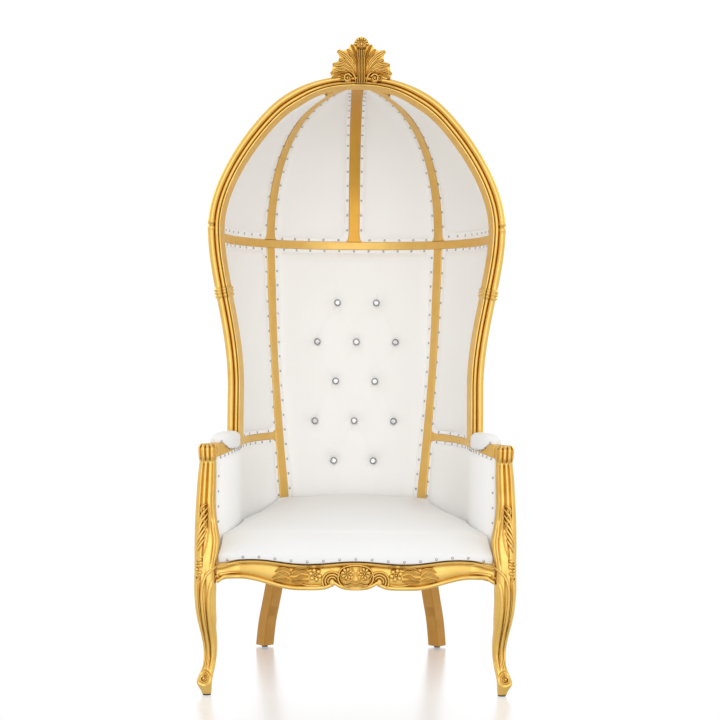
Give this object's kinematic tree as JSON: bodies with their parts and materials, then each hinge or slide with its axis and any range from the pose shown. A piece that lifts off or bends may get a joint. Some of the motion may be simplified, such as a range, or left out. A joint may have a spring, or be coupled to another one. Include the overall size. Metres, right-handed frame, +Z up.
{
  "type": "canopy throne chair",
  "caption": "Canopy throne chair: carved gilded frame, domed ribbed hood, button-tufted back, padded arms and crowned seat on cabriole legs.",
  "frame": {"origin": "on the floor, under the middle of the chair's bounding box", "axes": "+Z up, -Y is the side a sitter faces, +X is to the right of a person who faces the chair"},
  "size_m": [0.84, 0.8302, 1.75],
  "materials": {
    "gilded_wood": "gold leaf over carved hardwood, satin, worn to darker tone in the hollows",
    "white_leatherette": "soft semi-gloss with fine grain",
    "cut_crystal": "polished facets over a foil back",
    "nailhead": "polished nickel",
    "glide_plastic": "matte black"
  },
  "bodies": {
    "root": {"hood_arch": "gilded_wood", "hood_stile_right": "gilded_wood", "hood_stile_left": "gilded_wood", "hood_rib_center": "gilded_wood", "hood_rib_right": "gilded_wood", "hood_rib_left": "gilded_wood", "hood_band": "gilded_wood", "rear_post_right": "gilded_wood", "rear_post_left": "gilded_wood", "arm_rail_right": "gilded_wood", "arm_rail_left": "gilded_wood", "arm_band_right": "gilded_wood", "arm_band_left": "gilded_wood", "side_rail_right": "gilded_wood", "side_rail_left": "gilded_wood", "front_leg_right": "gilded_wood", "front_leg_left": "gilded_wood", "front_rail": "gilded_wood", "back_rail": "gilded_wood", "hood_back_panel_right": "white_leatherette", "hood_back_panel_left": "white_leatherette", "hood_side_panel_right": "white_leatherette", "hood_side_panel_left": "white_leatherette", "side_panel_right": "white_leatherette", "side_panel_left": "white_leatherette", "back_panel": "white_leatherette", "arm_panel_right": "white_leatherette", "arm_panel_left": "white_leatherette", "seat_pad": "white_leatherette", "arm_pad_right": "white_leatherette", "arm_pad_left": "white_leatherette", "crystal_button_1": "cut_crystal", "crystal_button_2": "cut_crystal", "crystal_button_3": "cut_crystal", "crystal_button_4": "cut_crystal", "crystal_button_5": "cut_crystal", "crystal_button_6": "cut_crystal", "crystal_button_7": "cut_crystal", "crystal_button_8": "cut_crystal", "crystal_button_9": "cut_crystal", "crystal_button_10": "cut_crystal", "crystal_button_11": "cut_crystal", "crystal_button_12": "cut_crystal", "front_glide_right": "glide_plastic", "front_glide_left": "glide_plastic", "rear_glide_right": "glide_plastic", "rear_glide_left": "glide_plastic"}
  },
  "joints": []
}
